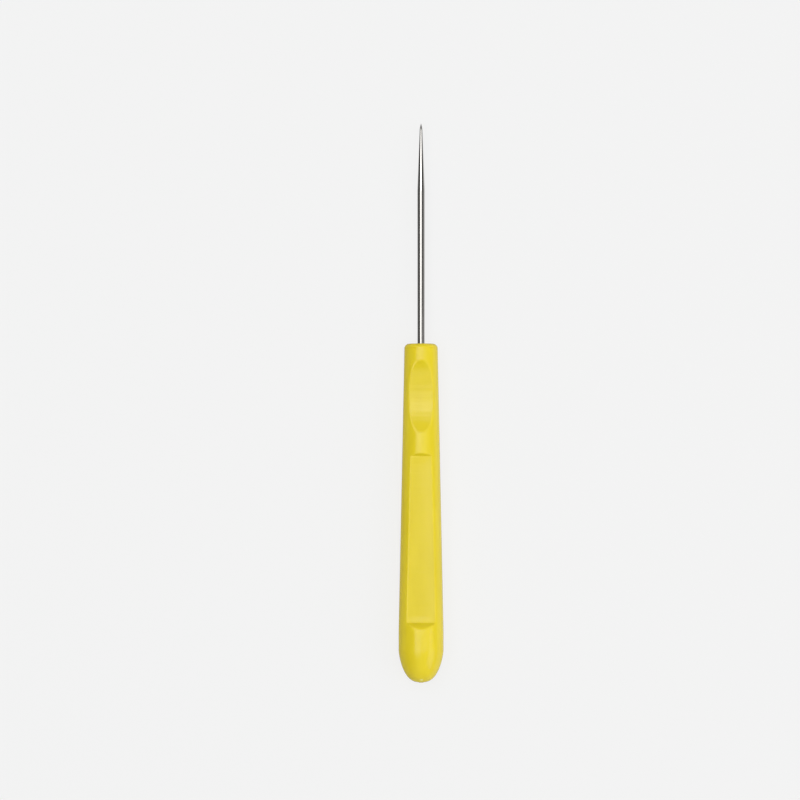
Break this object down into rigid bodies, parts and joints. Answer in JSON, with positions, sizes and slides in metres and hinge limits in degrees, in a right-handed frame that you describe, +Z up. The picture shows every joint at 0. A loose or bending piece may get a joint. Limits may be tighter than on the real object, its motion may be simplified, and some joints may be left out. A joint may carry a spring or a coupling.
{
  "type": "needle awl",
  "caption": "Straight needle awl: a tapered round plastic handle with long grip flats and finger scoops, holding a slim steel needle ground to a sharp point.",
  "frame": {"origin": "bottom centre of the tool's bounding box, on the ground that the tool lies on", "axes": "+Z up out of the upper grip flat's side, +Y forward towards the needle's point, +X to the right; the tool's axis leans 1.17 degrees point-down from +Y, because the tapered handle's underside lies flat on the ground"},
  "size_m": [0.0104, 0.13, 0.0105],
  "materials": {
    "handle_plastic": "gloss",
    "needle_steel": "polished"
  },
  "bodies": {
    "root": {"handle": "handle_plastic", "needle": "needle_steel"}
  },
  "joints": []
}
